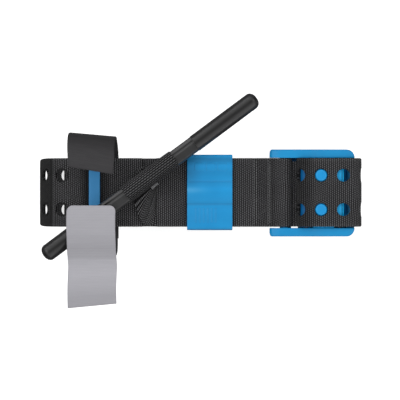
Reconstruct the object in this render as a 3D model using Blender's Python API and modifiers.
"""Windlass tourniquet, lying face up as a closed loop.

Units: metres, +Z up, +X along the strap from the looped end to the buckle.
Origin: middle of the loop on the plane it rests on, under the strap's centreline.
Every length below is in millimetres and is scaled once, when a mesh is finished.
"""
import math

import bmesh
import bpy
from mathutils import Matrix, Vector

MM = 0.001

# ---- webbing ---------------------------------------------------------------
WEB_W = 38.1            # nominal 1.5 inch webbing of the base
STRAP_W = 37.7          # perforated strap
WEB_T = 2.0             # thickness of every webbing layer
GAP = 0.3               # clearance between neighbouring layers
HOLE_R = 3.6            # perforation radius
HOLE_ROW = 9.525        # rows lie this far each side of the centreline
HOLE_PITCH = 12.7       # nominal distance between perforations
HOLE_VERTICES = 12

# ---- centreline heights of the top layers ----------------------------------
Z_INNER = 46.7          # perforated strap end, windlass band, anchor return
Z_OUTER = Z_INNER + WEB_T + GAP     # outer webbing of the base
SLOT_X = (-32.3, -24.1)  # opening the windlass band comes up through

# ---- loop, in the XZ plane: centres are (x, z) -----------------------------
STRAP_START_X = -35.0
LEFT_X = -66.85         # centre of the turn at the looped end
LEFT_R = 21.65
LEFT_LOW_R = 17.5       # the lower half of the turn is tighter
RIGHT_C = (62.0, 25.0)
RIGHT_R = 21.6
BUCKLE_RISE = 8.0       # straight rise between the right turn and the buckle
RUN_R = 12.3            # turn into the buckle
ROLLER_C = (58.6, 49.65)
ROLLER_TURN_R = 4.35
FOLD_C = (83.0, 48.6)   # where the tail folds down over the buckle's end
FOLD_R = 5.4
TAIL_R = 24.0
TAIL_END_X = -76.3
START_MARGIN = 6.0      # strap kept free of hole centres at its start
TAIL_MARGIN = 12.0      # and at the end of its tail

# ---- buckle, shared by the strap and the base webbing ----------------------
BUCKLE_Y = -0.3         # middle of the buckle's width
PRONG_X = 66.9
ANCHOR_C = (46.5, 47.85)    # (x, z)
ANCHOR_R = 2.0

# ---- windlass rod ----------------------------------------------------------
ROD_C = (-28.2, 9.0, 58.8)
ROD_ANGLE = 36.65       # degrees from +X towards +Y
ROD_LEN = 147.0
ROD_R = 4.75
CORE_R = 3.2            # the rod is slimmer under the webbing
DOME_LEN = 3.6          # how far the domed end runs along the rod
NECK = (16.9, 30.8)     # the flattened necks, measured from the rod's middle
WRAP_R = 5.3
WRAP_BORE = 3.65
WRAP_LEN = 34.0
WRAP_GAP = 0.3          # between each end of the wrap and the rod's shoulder

# Base colour, roughness and metallic of each material.
BLUE_SHELL = (0.022, 0.27, 0.61)
BLUE_BUCKLE = (0.022, 0.28, 0.63)
BASE_BLACK = (0.034, 0.034, 0.036)
FLAP_BLACK = (0.043, 0.042, 0.044)
PIN_GREY = (0.5, 0.5, 0.5)
SPRING_GREY = (0.45, 0.45, 0.46)
MATERIALS = {
    "strap_webbing": ((0.036, 0.036, 0.038), 0.85, 0.0),
    "base_webbing_left": (BASE_BLACK, 0.85, 0.0),
    "base_webbing_right": (BASE_BLACK, 0.85, 0.0),
    "band_webbing": ((0.038, 0.038, 0.041), 0.85, 0.0),
    "wrap_webbing": ((0.042, 0.042, 0.045), 0.85, 0.0),
    "base_plate_plastic": ((0.02, 0.02, 0.022), 0.5, 0.0),
    "cover_plastic_top": (BLUE_SHELL, 0.35, 0.0),
    "cover_plastic_bottom": (BLUE_SHELL, 0.35, 0.0),
    "rod_plastic": ((0.03, 0.03, 0.031), 0.4, 0.0),
    "clip_plastic": ((0.022, 0.24, 0.56), 0.4, 0.0),
    "keeper_webbing": (FLAP_BLACK, 0.8, 0.0),
    "upper_flap_webbing": (FLAP_BLACK, 0.8, 0.0),
    "lower_flap_webbing": (FLAP_BLACK, 0.8, 0.0),
    "tab_fabric": ((0.37, 0.365, 0.4), 0.75, 0.0),
    "buckle_plastic": (BLUE_BUCKLE, 0.35, 0.0),
    "prong_plastic": (BLUE_BUCKLE, 0.35, 0.0),
    "hinge_pin_steel": (PIN_GREY, 0.3, 1.0),
    "spring_steel_left": (SPRING_GREY, 0.3, 1.0),
    "spring_steel_right": (SPRING_GREY, 0.3, 1.0),
    "roller_plastic": ((0.022, 0.22, 0.52), 0.4, 0.0),
    "roller_pin_steel": (PIN_GREY, 0.3, 1.0),
}

for old in list(bpy.data.objects):
    bpy.data.objects.remove(old, do_unlink=True)


# ---- filing and modifiers --------------------------------------------------
def new_collection(name):
    collection = bpy.data.collections.new(name)
    bpy.context.scene.collection.children.link(collection)
    return collection


parts = new_collection("windlass_tourniquet")
cutters = new_collection("cutters")


def make_material(name):
    colour, roughness, metallic = MATERIALS[name]
    material = bpy.data.materials.new(name)
    material.use_nodes = True
    material.diffuse_color = (*colour, 1.0)
    inputs = material.node_tree.nodes["Principled BSDF"].inputs
    inputs["Base Color"].default_value = (*colour, 1.0)
    inputs["Roughness"].default_value = roughness
    inputs["Metallic"].default_value = metallic
    return material


def finish(obj, material_name=None, pivot=(0.0, 0.0, 0.0), smooth=False):
    """Files the object with the parts, or with the cutters when it has no material.

    The mesh is in millimetres and in place; it is scaled, and the origin put at pivot.
    """
    obj.data.transform(Matrix.Scale(MM, 4) @ Matrix.Translation(-Vector(pivot)))
    obj.location = Vector(pivot) * MM
    for collection in list(obj.users_collection):
        collection.objects.unlink(obj)
    if material_name is None:
        cutters.objects.link(obj)
        obj.hide_render = True
        obj.display_type = "WIRE"
    else:
        parts.objects.link(obj)
        obj.data.materials.append(make_material(material_name))
        if smooth:
            obj.data.shade_smooth()
            obj.data.set_sharp_from_angle(angle=math.radians(35.0))
    return obj


def combine(target, operation, tool):
    """Files the tool with the cutters and applies it to the target as a modifier."""
    finish(tool)
    modifier = target.modifiers.new(tool.name, "BOOLEAN")
    modifier.operation = operation
    modifier.solver = "EXACT"
    modifier.object = tool


def bevel(obj, width, angle):
    modifier = obj.modifiers.new("bevel", "BEVEL")
    modifier.width = width * MM
    modifier.segments = 1
    modifier.limit_method = "ANGLE"
    modifier.angle_limit = math.radians(angle)


# ---- primitives ------------------------------------------------------------
def about(middle, half):
    """The range reaching half to each side of the middle."""
    return middle - half, middle + half


def box(name, x_range, y_range, z_range):
    bpy.ops.mesh.primitive_cube_add(size=1.0)
    obj = bpy.context.object
    obj.name = obj.data.name = name
    ranges = (x_range, y_range, z_range)
    middle = [(low + high) / 2 for low, high in ranges]
    size = [high - low for low, high in ranges]
    obj.data.transform(Matrix.Translation(middle) @ Matrix.Diagonal((*size, 1.0)))
    return obj


def rod_y(name, radius, y_range, centre, vertices=20):
    """A cylinder lying along Y, its axis at centre (x, z)."""
    low, high = y_range
    bpy.ops.mesh.primitive_cylinder_add(vertices=vertices, radius=radius, depth=high - low)
    obj = bpy.context.object
    obj.name = obj.data.name = name
    obj.data.transform(
        Matrix.Translation((centre[0], (low + high) / 2, centre[1]))
        @ Matrix.Rotation(math.radians(90.0), 4, "X")
    )
    return obj


def linked(name, data):
    """A new object in the scene's own collection."""
    obj = bpy.data.objects.new(name, data)
    bpy.context.scene.collection.objects.link(obj)
    return obj


def baked(obj):
    """Replaces an object by a plain mesh of what it evaluates to, welded shut."""
    bpy.context.view_layer.update()
    evaluated = obj.evaluated_get(bpy.context.evaluated_depsgraph_get())
    mesh = bpy.data.meshes.new_from_object(evaluated)
    name = obj.name
    bpy.data.objects.remove(obj, do_unlink=True)
    mesh.name = name
    bm = bmesh.new()
    bm.from_mesh(mesh)
    bmesh.ops.remove_doubles(bm, verts=bm.verts[:], dist=0.0001)
    bmesh.ops.recalc_face_normals(bm, faces=bm.faces[:])
    bm.to_mesh(mesh)
    bm.free()
    return linked(name, mesh)


def turned(name, profile, steps, close=False):
    """A profile of (radius, height) points turned about Z."""
    bm = bmesh.new()
    points = [bm.verts.new((radius, 0.0, height)) for radius, height in profile]
    for start, end in zip(points, points[1:]):
        bm.edges.new((start, end))
    if close:
        bm.edges.new((points[-1], points[0]))
    mesh = bpy.data.meshes.new(name)
    bm.to_mesh(mesh)
    bm.free()
    obj = linked(name, mesh)
    screw = obj.modifiers.new("screw", "SCREW")
    screw.axis = "Z"
    screw.steps = screw.render_steps = steps
    screw.use_merge_vertices = True
    screw.merge_threshold = 0.0001
    screw.use_normal_calculate = True
    return baked(obj)


def outline(name, loops, extrude):
    """Flat outlines filled as a 2D curve; loops inside the first one are holes."""
    curve = bpy.data.curves.new(name, "CURVE")
    curve.dimensions = "2D"
    curve.fill_mode = "BOTH"
    curve.extrude = extrude
    for loop in loops:
        spline = curve.splines.new("POLY")
        spline.points.add(len(loop) - 1)
        for point, (x, y) in zip(spline.points, loop):
            point.co = (x, y, 0.0, 1.0)
        spline.use_cyclic_u = True
    return baked(linked(name, curve))


# How a flat section is stood up, and the axis it is pushed along.
ALONG_X = (     # drawn in (y, z)
    Matrix(((0, 0, 1, 0), (1, 0, 0, 0), (0, 1, 0, 0), (0, 0, 0, 1))),
    Vector((1.0, 0.0, 0.0)),
)
ALONG_Y = (     # drawn in (x, z)
    Matrix(((1, 0, 0, 0), (0, 0, -1, 0), (0, 1, 0, 0), (0, 0, 0, 1))),
    Vector((0.0, 1.0, 0.0)),
)
ALONG_Z = (Matrix.Identity(4), Vector((0.0, 0.0, 1.0)))     # drawn in (x, y)


def section(name, profile, extent, frame):
    """A closed section pushed over the extent (low, high) of the frame's axis."""
    low, high = extent
    stand_up, axis = frame
    obj = outline(name, [profile], (high - low) / 2.0)
    obj.data.transform(Matrix.Translation(axis * ((low + high) / 2.0)) @ stand_up)
    return obj


def arc_points(centre_x, centre_y, radius, count, start, sweep):
    """Points on an arc, both ends included; start and sweep are in degrees."""
    angles = [math.radians(start + sweep * i / (count - 1)) for i in range(count)]
    return [
        (centre_x + radius * math.cos(angle), centre_y + radius * math.sin(angle))
        for angle in angles
    ]


def circle(centre_x, centre_y, radius, vertices):
    return arc_points(centre_x, centre_y, radius, vertices + 1, 0.0, 360.0)[:-1]


def mirrored(points):
    """The points across the vertical axis, in the order that carries the outline on."""
    return [(-across, height) for across, height in reversed(points)]


# ---- webbing laid along a path ---------------------------------------------
class Path:
    """A centreline of straight runs and arcs in a plane (x to the right, z up).

    The plane's x is the scene's X or, for the keeper and the tab, a distance along Y.
    """

    def __init__(self, x, z, heading):
        self.x, self.z = x, z
        self.heading = math.radians(heading)
        self.length = 0.0
        self.runs = []          # (distance, x, z, heading, curvature) at each start
        self.stations = []      # distances where the facets meet

    def add_run(self, curvature):
        self.runs.append((self.length, self.x, self.z, self.heading, curvature))

    def line(self, length):
        self.add_run(0.0)
        self.length += length
        self.x += length * math.cos(self.heading)
        self.z += length * math.sin(self.heading)
        return self

    def arc(self, radius, turn, steps):
        """A turn in degrees, positive to the left, cut into flat facets."""
        angle = math.radians(turn)
        length = radius * abs(angle)
        curvature = math.copysign(1.0 / radius, angle)
        end = self.heading + angle
        self.add_run(curvature)
        self.stations += [self.length + length * i / steps for i in range(steps + 1)]
        self.x += (math.sin(end) - math.sin(self.heading)) / curvature
        self.z -= (math.cos(end) - math.cos(self.heading)) / curvature
        self.heading = end
        self.length += length
        return self

    def on_curve(self, distance, offset):
        """The point at a distance and at an offset to the left of the centreline."""
        run = self.runs[0]
        for candidate in self.runs:
            if distance >= candidate[0] - 1e-9:
                run = candidate
        start, x, z, heading, curvature = run
        beyond = distance - start
        tangent = heading + beyond * curvature
        if curvature == 0.0:
            x += beyond * math.cos(heading)
            z += beyond * math.sin(heading)
        else:
            x += (math.sin(tangent) - math.sin(heading)) / curvature
            z -= (math.cos(tangent) - math.cos(heading)) / curvature
        return x - offset * math.sin(tangent), z + offset * math.cos(tangent)

    def at(self, distance, offset):
        """The same, on the flat facet between the stations each side of it."""
        low = max([s for s in self.stations if s <= distance], default=0.0)
        high = min([s for s in self.stations if s > distance], default=self.length)
        start, end = self.on_curve(low, offset), self.on_curve(high, offset)
        part = (distance - low) / (high - low) if high > low else 0.0
        return (
            start[0] + (end[0] - start[0]) * part,
            start[1] + (end[1] - start[1]) * part,
        )


def bent_in_xz(path, distance, width, offset):
    """Places a path that runs in X and Z; the width lies along Y."""
    x, z = path.at(distance, offset)
    return x, width, z


def bent_to_minus_y(path, distance, width, offset):
    """Places a path whose x is measured towards -Y; the width lies along X."""
    outward, z = path.at(distance, offset)
    return width, -outward, z


def ribbon(name, loops, path, material_name, place=bent_in_xz, thickness=WEB_T,
           pivot=(0.0, 0.0, 0.0)):
    """Webbing: a flat strip drawn in (distance, width), then bent along a path.

    Fold lines are cut at the path's stations, so each facet stays flat.
    """
    obj = outline(name, loops, thickness / 2.0)
    bm = bmesh.new()
    bm.from_mesh(obj.data)
    bm.normal_update()
    caps = {f for f in bm.faces if abs(f.normal.z) > 0.9}
    inner = [
        e for e in bm.edges
        if len(e.link_faces) == 2 and all(f in caps for f in e.link_faces)
    ]
    bmesh.ops.beautify_fill(bm, faces=list(caps), edges=inner)
    # a station very close to a corner moves onto it, which avoids sliver faces
    corners = sorted(set(round(v.co.x, 3) for v in bm.verts))
    stations = set()
    for station in path.stations:
        nearest = min(corners, key=lambda corner: abs(corner - station))
        stations.add(nearest if abs(nearest - station) < 0.3 else station)
    path.stations = sorted(stations)
    for station in path.stations:
        if corners[0] + 0.05 < station < corners[-1] - 0.05:
            bmesh.ops.bisect_plane(
                bm,
                geom=bm.verts[:] + bm.edges[:] + bm.faces[:],
                dist=0.002,
                plane_co=(station, 0.0, 0.0),
                plane_no=(1.0, 0.0, 0.0),
            )
    bmesh.ops.triangulate(bm, faces=bm.faces[:])
    for v in bm.verts:
        v.co = place(path, v.co.x, v.co.y, v.co.z)
    if bm.calc_volume(signed=True) < 0.0:       # bending may turn the strip over
        bmesh.ops.reverse_faces(bm, faces=bm.faces[:])
    bm.to_mesh(obj.data)
    bm.free()
    return finish(obj, material_name, pivot)


def rectangle(start, end, side_low, side_high):
    return [(start, side_low), (end, side_low), (end, side_high), (start, side_high)]


def perforated(length, width, centres, radius):
    """The outlines of a strip with a pair of round holes at each centre."""
    loops = [rectangle(0.0, length, -width / 2.0, width / 2.0)]
    for centre in centres:
        for row in (-HOLE_ROW, HOLE_ROW):
            loops.append(circle(centre, row, radius, HOLE_VERTICES))
    return loops


# ---- perforated strap ------------------------------------------------------
def strap_path():
    """Top end, round the limb, through the buckle, tail.

    Also returns the distances to the outermost point of the looped end and to the prongs.
    """
    path = Path(STRAP_START_X, Z_INNER, 180.0)
    path.line(STRAP_START_X - LEFT_X)
    path.arc(LEFT_R, 90.0, 6)
    looped_end = path.length
    path.line(LEFT_R - LEFT_LOW_R)
    path.arc(LEFT_LOW_R, 90.0, 6)
    path.line(RIGHT_C[0] - path.x)
    path.arc(RIGHT_R, 90.0, 6)
    path.line(BUCKLE_RISE)
    path.arc(RUN_R, 90.0, 5)
    path.line(path.x - ROLLER_C[0])
    path.arc(ROLLER_TURN_R, -180.0, 9)
    prongs = path.length + PRONG_X - ROLLER_C[0]
    path.line(FOLD_C[0] - ROLLER_C[0])

    # the tail leaves the fold on the line that touches both the fold and the outer curve
    step_x, step_z = RIGHT_C[0] - FOLD_C[0], RIGHT_C[1] - FOLD_C[1]
    spacing = math.hypot(step_x, step_z)
    lean = math.acos((TAIL_R - FOLD_R) / spacing)
    drop = math.atan2(step_z, step_x) - lean + math.pi / 2.0
    while drop > 0.0:
        drop -= 2.0 * math.pi
    path.arc(FOLD_R, math.degrees(drop), 7)
    path.line(math.sqrt(spacing * spacing - (TAIL_R - FOLD_R) ** 2))
    path.arc(TAIL_R, -180.0 - math.degrees(drop), 6)
    path.line(path.x - TAIL_END_X)
    return path, looped_end, prongs


def build_strap():
    """Builds the strap and returns its true hole pitch."""
    path, looped_end, prongs = strap_path()
    # the pitch is adjusted so that holes meet both the prongs and the looped end
    pitch = (prongs - looped_end) / round((prongs - looped_end) / HOLE_PITCH)
    centres = []
    i = -int((looped_end - START_MARGIN) / pitch)
    while looped_end + i * pitch < path.length - TAIL_MARGIN:
        centres.append(looped_end + i * pitch)
        i += 1
    loops = perforated(path.length, STRAP_W, centres, HOLE_R)
    ribbon("strap_loop", loops, path, "strap_webbing")
    return pitch


# ---- outer webbing of the base ---------------------------------------------
def build_base_web_left(pitch):
    """Looped end side, following the strap part of the way round the turn."""
    radius = LEFT_R + WEB_T + GAP
    straight = SLOT_X[0] - LEFT_X
    path = Path(SLOT_X[0], Z_OUTER, 180.0)
    path.line(straight).arc(radius, 38.5, 4)
    # over the strap's second pair of holes before the outermost point
    hole = straight + math.radians(90.0) * radius - 2.0 * pitch * radius / LEFT_R
    loops = perforated(path.length, WEB_W, [hole], HOLE_R + 0.2)
    ribbon("base_web_left", loops, path, "base_webbing_left")


def build_base_web_right():
    """Buckle side, looped round the anchor bar and back underneath."""
    slope = 14.0                # degrees the webbing leaves the flat by
    return_end_x = 19.5
    loop_r = ANCHOR_R + GAP + WEB_T / 2.0

    def bend_radius(height):
        """The radius of two equal and opposite bends that step by the height."""
        return height / (2.0 * (1.0 - math.cos(math.radians(slope))))

    over_r = bend_radius(ANCHOR_C[1] + loop_r - Z_OUTER)
    under_r = bend_radius(Z_INNER - (ANCHOR_C[1] - loop_r))
    path = Path(SLOT_X[1], Z_OUTER, 0.0)
    path.line(ANCHOR_C[0] - 2.0 * over_r * math.sin(math.radians(slope)) - SLOT_X[1])
    path.arc(over_r, slope, 3).arc(over_r, -slope, 3)
    path.arc(loop_r, -180.0, 10)
    path.arc(under_r, -slope, 3).arc(under_r, slope, 3)
    path.line(path.x - return_end_x)
    loops = [rectangle(0.0, path.length, -WEB_W / 2.0, WEB_W / 2.0)]
    ribbon("base_web_right", loops, path, "base_webbing_right")


# ---- windlass band: flat run under the base webbing, leg rising in the slot -
BAND_X = (-31.6, 17.5)
BAND_HALF_W = 18.6
LEG_T = 1.1
LEG_Z = 47.9            # height of the leg's foot
LEG_RISE = 3.2
LEG_RISE_PART = 0.42    # part of the leg's length in which it rises


def beside_rod(along, beside):
    """The (x, y) at a distance along the rod and beside it, towards +X and -Y."""
    cos_rod, sin_rod = math.cos(math.radians(ROD_ANGLE)), math.sin(math.radians(ROD_ANGLE))
    return (
        ROD_C[0] + along * cos_rod + beside * sin_rod,
        ROD_C[1] + along * sin_rod - beside * cos_rod,
    )


def leg_point(across, up):
    """A point of the leg; across its width and up its length both run from 0 to 1."""
    foot = (-24.6, -18.4 + 21.6 * across)
    control = (-32.6 + 6.4 * across, -18.8 + 20.0 * across)
    head = beside_rod(-16.3 + 18.0 * across, 5.2)
    x, y = (
        (1 - up) ** 2 * start + 2 * up * (1 - up) * middle + up * up * end
        for start, middle, end in zip(foot, control, head)
    )
    part = min(1.0, up / LEG_RISE_PART)
    return x, max(y, -BAND_HALF_W), LEG_Z + LEG_RISE * part * part * (3 - 2 * part)


def build_band():
    flat = box("windlass_band", BAND_X, about(0.0, BAND_HALF_W), about(Z_INNER, WEB_T / 2))
    band = finish(flat, "band_webbing")
    mesh = bpy.data.meshes.new("band_leg")
    bm = bmesh.new()
    bmesh.ops.create_grid(bm, x_segments=6, y_segments=8, size=0.5)
    for v in bm.verts:
        v.co = leg_point(v.co.x + 0.5, v.co.y + 0.5)
    bmesh.ops.triangulate(bm, faces=bm.faces[:])
    bmesh.ops.recalc_face_normals(bm, faces=bm.faces[:])
    bm.to_mesh(mesh)
    bm.free()
    leg = bpy.data.objects.new("band_leg", mesh)
    solidify = leg.modifiers.new("solidify", "SOLIDIFY")
    solidify.thickness = LEG_T * MM
    solidify.offset = 0.0
    combine(band, "UNION", leg)


# ---- base plate ------------------------------------------------------------
def build_base_plate():
    plate = box("base_plate", (-44.0, 20.0), about(0.0, 18.0), (43.9, 45.4))
    bevel(finish(plate, "base_plate_plastic"), width=0.4, angle=40.0)


# ---- cover: two shells closed round the stack of webbing -------------------
COVER_X = (-7.5, 17.2)
COVER_Y = 20.95         # half the outer width
SHELL_Y = 19.35         # half the inner width
COVER_TOP = 52.3
CHANNEL_Y = 6.9         # the shallow channel in the top starts here, towards -Y
CHANNEL_W = 13.3
CHANNEL_DEPTH = 0.75
CHANNEL_STEPS = 8
TOP_RIM_Z, TOP_CEILING_Z = 47.3, 50.3
BOTTOM_RIM_Z, BOTTOM_FLOOR_Z = 47.0, 43.6


def shell_profile(side, middle, rim_z, inner_z):
    """(y, z) of a shell from its -Y side, the outline between sides, and its hollow."""
    hollow = [(-SHELL_Y, inner_z), (-SHELL_Y, rim_z)]
    return side + middle + mirrored(side) + mirrored(hollow) + hollow


def build_cover():
    channel = [
        (
            CHANNEL_Y - CHANNEL_W * i / CHANNEL_STEPS,
            COVER_TOP - CHANNEL_DEPTH * math.sin(math.pi * i / CHANNEL_STEPS),
        )
        for i in range(CHANNEL_STEPS, -1, -1)
    ]
    top_side = [
        (-COVER_Y, TOP_RIM_Z), (-COVER_Y, 51.2),
        (-COVER_Y + 0.35, 51.95), (-COVER_Y + 1.1, COVER_TOP),
    ]
    bottom_side = [(-COVER_Y, BOTTOM_RIM_Z), (-COVER_Y, 43.0), (-COVER_Y + 0.9, 42.2)]
    top = shell_profile(top_side, channel, TOP_RIM_Z, TOP_CEILING_Z)
    bottom = shell_profile(bottom_side, [], BOTTOM_RIM_Z, BOTTOM_FLOOR_Z)
    finish(section("cover_top", top, COVER_X, ALONG_X), "cover_plastic_top")
    finish(section("cover_bottom", bottom, COVER_X, ALONG_X), "cover_plastic_bottom")


# ---- windlass rod and the webbing wrapped round its middle -----------------
# Cuts that flatten a neck, in the rod's own frame (x along it, z up):
# name, inset from the neck's ends, y range, z range.
NECK_CUTS = (
    ("top", 0.0, (-7.0, 2.5), (3.3, 7.0)),      # leaves a rib along the +y edge
    ("edge", 0.2, (3.9, 7.0), (-7.0, 2.2)),
    ("under", 0.0, (-2.3, 7.0), (-7.0, -3.3)),
    ("far", 0.4, (-7.0, -4.5), (-7.0, 7.0)),
)
ALONG_ROD = Matrix.Translation(ROD_C) @ Matrix.Rotation(math.radians(ROD_ANGLE), 4, "Z")
LIE_DOWN = ALONG_ROD @ Matrix.Rotation(math.radians(90.0), 4, "Y")


def build_rod():
    half = ROD_LEN / 2.0
    shoulder = WRAP_LEN / 2.0 + WRAP_GAP
    upper = [
        (
            ROD_R * math.sin(math.radians(angle)),
            half - DOME_LEN * (1.0 - math.cos(math.radians(angle))),
        )
        for angle in (0, 18, 36, 54, 72, 90)
    ]
    upper += [(ROD_R, shoulder), (CORE_R, shoulder)]
    lower = [(radius, -height) for radius, height in reversed(upper)]
    rod = turned("windlass_rod", upper + lower, 24)
    rod.data.transform(LIE_DOWN)
    finish(rod, "rod_plastic", ROD_C, smooth=True)
    for name, start, end in (
        ("neck_left", -NECK[1], -NECK[0]),
        ("neck_right", NECK[0], NECK[1]),
    ):
        for face, inset, y_range, z_range in NECK_CUTS:
            tool = box(f"{name}_{face}", (start + inset, end - inset), y_range, z_range)
            tool.data.transform(ALONG_ROD)
            combine(rod, "DIFFERENCE", tool)


def build_wrap():
    half = WRAP_LEN / 2.0
    profile = [(WRAP_R, half), (WRAP_R, -half), (WRAP_BORE, -half), (WRAP_BORE, half)]
    wrap = turned("band_wrap", profile, 24, close=True)
    wrap.data.transform(LIE_DOWN)
    finish(wrap, "wrap_webbing", ROD_C, smooth=True)


# ---- clip under the rod: a low ring round both webbing layers --------------
CLIP_X = (-60.8, -54.7)
CLIP_PROFILE = [        # (y, z)
    (-21.2, 45.0), (-20.5, 44.3), (20.5, 44.3), (21.2, 45.0),
    (21.2, 52.6), (20.4, 53.3), (19.2, 53.3), (18.3, 51.7),
    (-18.3, 51.7), (-19.2, 53.3), (-20.4, 53.3), (-21.2, 52.6),
]


def build_clip():
    clip = finish(section("windlass_clip", CLIP_PROFILE, CLIP_X, ALONG_X), "clip_plastic")
    window = box("clip_window", (-62.0, -53.0), about(0.0, 19.4), (45.4, 50.3))
    combine(clip, "DIFFERENCE", window)


# ---- keeper: a band under the webbing with a flap folding up at each edge --
KEEP_T = 1.6
KEEP_X = -59.7          # x of the flaps' and the tab's origins
KEEP_Z = 43.2
KEEP_FOLD_R = 10.9
CREASE_LOW = 25.6       # crease of the lower flap, at -Y
CREASE_UP = 20.5        # crease of the upper flap, at +Y
UPPER_SKEW = 0.17       # the upper flap lies slightly askew
PIVOT_UP = (KEEP_X, CREASE_UP, KEEP_Z - KEEP_T / 2)
PIVOT_LOW = (KEEP_X, -CREASE_LOW, KEEP_Z - KEEP_T / 2)


def build_keeper_band():
    y_range = (-CREASE_LOW + 0.3, CREASE_UP - 0.3)
    band = box("keeper_band", (-72.6, -46.0), y_range, about(KEEP_Z, KEEP_T / 2))
    finish(band, "keeper_webbing")


def build_upper_flap():
    path = Path(CREASE_UP, KEEP_Z, 0.0).arc(KEEP_FOLD_R, 180.0, 12)
    fold = path.length
    path.line(11.0)

    def askew(path, distance, width, offset):
        """Skews the flap more and more through the fold, then evenly."""
        y, z = path.at(distance, offset)
        part = min(1.0, distance / fold)
        return width, y - UPPER_SKEW * (width - KEEP_X) * part, z

    loop = [(0.0, -73.0), (fold + 8.6, -73.0), (fold + 8.2, -46.4), (0.0, -46.4)]
    ribbon("keeper_flap_upper", [loop], path, "upper_flap_webbing", askew, KEEP_T, PIVOT_UP)


def build_lower_flap():
    path = Path(CREASE_LOW, KEEP_Z, 0.0).arc(KEEP_FOLD_R, 180.0, 12)
    loop = rectangle(0.0, path.length + 17.6, -72.0, -45.2)
    path.line(18.0)
    ribbon("keeper_flap_lower", [loop], path, "lower_flap_webbing",
           bent_to_minus_y, KEEP_T, PIVOT_LOW)


# ---- writing tab sewn on the lower flap, its free end hanging past the fold -
TAB_START = (7.2, 66.6)     # (distance towards -Y, z)
TAB_X = (-74.1, -47.0)
TAB_CORNER = 3.4
TAB_T = 1.0
TAB_END_SLANT = 2.6         # the free end is cut this much shorter at its +X corner


def build_tab():
    path = Path(*TAB_START, 0.0).line(19.0)
    path.arc(60.0, -9.0, 4).line(3.6)
    path.arc(3.0, 13.0, 3).line(9.0)
    path.arc(50.0, -12.0, 5).line(5.0)
    loop = arc_points(TAB_CORNER, TAB_X[0] + TAB_CORNER, TAB_CORNER, 7, 270.0, -90.0)
    loop += arc_points(TAB_CORNER, TAB_X[1] - TAB_CORNER, TAB_CORNER, 7, 180.0, -90.0)
    loop += [(path.length - TAB_END_SLANT, TAB_X[1]), (path.length, TAB_X[0])]
    ribbon("time_tab", [loop], path, "tab_fabric", bent_to_minus_y, TAB_T, PIVOT_LOW)


# ---- buckle ----------------------------------------------------------------
RAIL_IN, RAIL_OUT = 19.45, 24.15    # faces of the side rails, from the middle
BAR_REACH = RAIL_IN + 1.5           # cross bars run this far, into the rails
FRAME_X = (38.2, 85.5)
ANCHOR_CORNER_R = 1.5               # plan corners at the anchor bar's end
END_CORNER_R = 4.5                  # plan corners at the far end
PIN_C = (77.3, 50.6)                # hinge pin, (x, z)
PIN_R = 1.0
ROLLER_R = 3.05
ROLLER_PIN_R = 1.2
PIN_CLEARANCE = 0.3
PIN_HALF = 21.4                     # half the length of both pins
SEAT_HALF = 21.7                    # half the length of their seats
PLATE_HALF_W = 19.15                # prong plate
BARREL_HALF = 13.7
ROLLER_HALF = 18.9
HINGE_PIVOT = (PIN_C[0], BUCKLE_Y, PIN_C[1])

RAIL_PROFILE = [        # (x, z), along the top from -X and back underneath
    (38.3, 49.6), (39.6, 51.0), (43.0, 51.9), (48.0, 52.2), (52.0, 52.0), (55.5, 51.8),
    (59.0, 51.7), (61.5, 51.8), (64.5, 52.3), (68.0, 52.6), (82.0, 52.6), (85.5, 52.0),
    (85.5, 45.6), (81.0, 42.0), (72.0, 40.6), (56.0, 40.6), (46.0, 42.6), (39.4, 43.6),
    (38.3, 44.6),
]
END_BAR_PROFILE = [     # (x, z)
    (81.0, 43.7), (84.6, 43.7), (85.4, 44.5), (85.4, 46.3),
    (84.7, 47.0), (81.6, 47.0), (81.0, 46.4),
]
PLATE_PROFILE = [       # (x, z)
    (62.3, 50.9), (79.7, 50.9), (79.7, 52.0), (79.0, 52.65), (62.3, 52.65),
]
PRONG_PROFILE = [       # (radius, z)
    (0.0, 55.05), (1.9, 55.05), (2.4, 54.9), (2.75, 54.5),
    (2.9, 53.6), (2.9, 51.4), (0.0, 51.4),
]


def buckle_width(half):
    """The y range reaching half to each side of the buckle's middle."""
    return about(BUCKLE_Y, half)


def frame_plan():
    """The frame's rounded outline in (x, y)."""
    low_x, high_x = FRAME_X
    plan = []
    for x, y, radius, start in (
        (high_x - END_CORNER_R, RAIL_OUT - END_CORNER_R, END_CORNER_R, 0.0),
        (low_x + ANCHOR_CORNER_R, RAIL_OUT - ANCHOR_CORNER_R, ANCHOR_CORNER_R, 90.0),
        (low_x + ANCHOR_CORNER_R, -RAIL_OUT + ANCHOR_CORNER_R, ANCHOR_CORNER_R, 180.0),
        (high_x - END_CORNER_R, -RAIL_OUT + END_CORNER_R, END_CORNER_R, 270.0),
    ):
        plan += arc_points(x, BUCKLE_Y + y, radius, 6, start, 90.0)
    return plan


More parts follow.
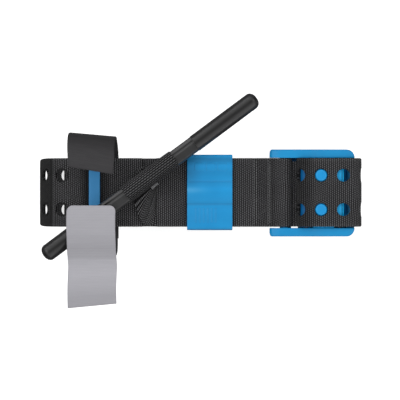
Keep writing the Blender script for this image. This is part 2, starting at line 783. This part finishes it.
def build_frame():
    bar = buckle_width(BAR_REACH)
    seat = buckle_width(SEAT_HALF)
    rails = section("buckle_frame", RAIL_PROFILE, buckle_width(RAIL_OUT), ALONG_Y)
    frame = finish(rails, "buckle_plastic")
    passage = box("strap_passage", (30.0, 90.0), buckle_width(RAIL_IN), (30.0, 60.0))
    combine(frame, "DIFFERENCE", passage)
    combine(frame, "UNION", section("end_bar", END_BAR_PROFILE, bar, ALONG_Y))
    combine(frame, "UNION", rod_y("anchor_bar", ANCHOR_R, bar, ANCHOR_C))
    combine(frame, "UNION", box("buckle_floor", (57.0, 69.0), bar, (41.4, 43.0)))
    tongue = box("floor_tongue", (53.3, 60.0), buckle_width(15.0), (41.6, 42.8))
    combine(frame, "UNION", tongue)
    plan = section("plan_outline", frame_plan(), (38.0, 56.0), ALONG_Z)
    combine(frame, "INTERSECT", plan)
    for name, radius, centre in (
        ("hinge_pin_seat", PIN_R, PIN_C),
        ("roller_pin_seat", ROLLER_PIN_R, ROLLER_C),
    ):
        tool = rod_y(name, radius + PIN_CLEARANCE, seat, centre, 16)
        combine(frame, "DIFFERENCE", tool)


def build_prong_plate():
    plate = section("prong_plate", PLATE_PROFILE, buckle_width(PLATE_HALF_W), ALONG_Y)
    finish(plate, "prong_plastic", HINGE_PIVOT)
    combine(plate, "UNION", rod_y("lever_barrel", 2.0, buckle_width(BARREL_HALF), PIN_C))
    for name, row in (("prong_low", -HOLE_ROW), ("prong_high", HOLE_ROW)):
        prong = turned(name, PRONG_PROFILE, 20)
        prong.data.transform(Matrix.Translation((PRONG_X, row, 0.0)))
        combine(plate, "UNION", prong)
    for name, low, high in (
        ("spring_bay_low", -20.0, -13.8),
        ("spring_bay_high", 13.8, 20.0),
    ):
        bay = box(name, (74.2, 80.0), (BUCKLE_Y + low, BUCKLE_Y + high), (47.0, 54.0))
        combine(plate, "DIFFERENCE", bay)
    bore = rod_y("lever_bore", PIN_R + PIN_CLEARANCE, buckle_width(15.0), PIN_C, 16)
    combine(plate, "DIFFERENCE", bore)


def build_pins():
    hinge = rod_y("hinge_pin", PIN_R, buckle_width(PIN_HALF), PIN_C, 16)
    bevel(finish(hinge, "hinge_pin_steel"), width=0.25, angle=60.0)
    axle = rod_y("roller_pin", ROLLER_PIN_R, buckle_width(PIN_HALF), ROLLER_C, 16)
    bevel(finish(axle, "roller_pin_steel", smooth=True), width=0.25, angle=60.0)


SPRING_TURNS = 4
POINTS_PER_TURN = 14
WIRE_R = 0.36
COIL_R = 1.72


def build_spring(name, start, end, material_name):
    """A torsion spring: close turns of wire round the hinge pin, from start to end in y."""
    count = SPRING_TURNS * POINTS_PER_TURN
    curve = bpy.data.curves.new(name, "CURVE")
    curve.dimensions = "3D"
    curve.bevel_depth = WIRE_R
    curve.bevel_resolution = 1
    curve.use_fill_caps = True
    spline = curve.splines.new("POLY")
    spline.points.add(count)
    for i, point in enumerate(spline.points):
        angle = 2.0 * math.pi * i / POINTS_PER_TURN
        x = PIN_C[0] + COIL_R * math.cos(angle)
        y = start + WIRE_R + (end - start - 2.0 * WIRE_R) * i / count
        z = PIN_C[1] + COIL_R * math.sin(angle)
        point.co = (x, y, z, 1.0)
    finish(baked(linked(name, curve)), material_name, HINGE_PIVOT, smooth=True)


def build_springs():
    inner, outer = 14.2, 18.6       # ends of each spring, from the buckle's middle
    build_spring("torsion_spring_left", BUCKLE_Y + inner, BUCKLE_Y + outer,
                 "spring_steel_left")
    build_spring("torsion_spring_right", BUCKLE_Y - outer, BUCKLE_Y - inner,
                 "spring_steel_right")


def build_roller():
    """The roller the strap turns on."""
    roller = rod_y("strap_roller", ROLLER_R, buckle_width(ROLLER_HALF), ROLLER_C, 24)
    pivot = (ROLLER_C[0], BUCKLE_Y, ROLLER_C[1])
    finish(roller, "roller_plastic", pivot, smooth=True)
    bore_r = ROLLER_PIN_R + PIN_CLEARANCE
    bore = rod_y("roller_bore", bore_r, buckle_width(20.0), ROLLER_C, 16)
    combine(roller, "DIFFERENCE", bore)


hole_pitch = build_strap()
build_base_web_left(hole_pitch)
build_base_web_right()
build_band()
build_base_plate()
build_cover()
build_rod()
build_wrap()
build_clip()
build_keeper_band()
build_upper_flap()
build_lower_flap()
build_tab()
build_frame()
build_prong_plate()
build_pins()
build_springs()
build_roller()
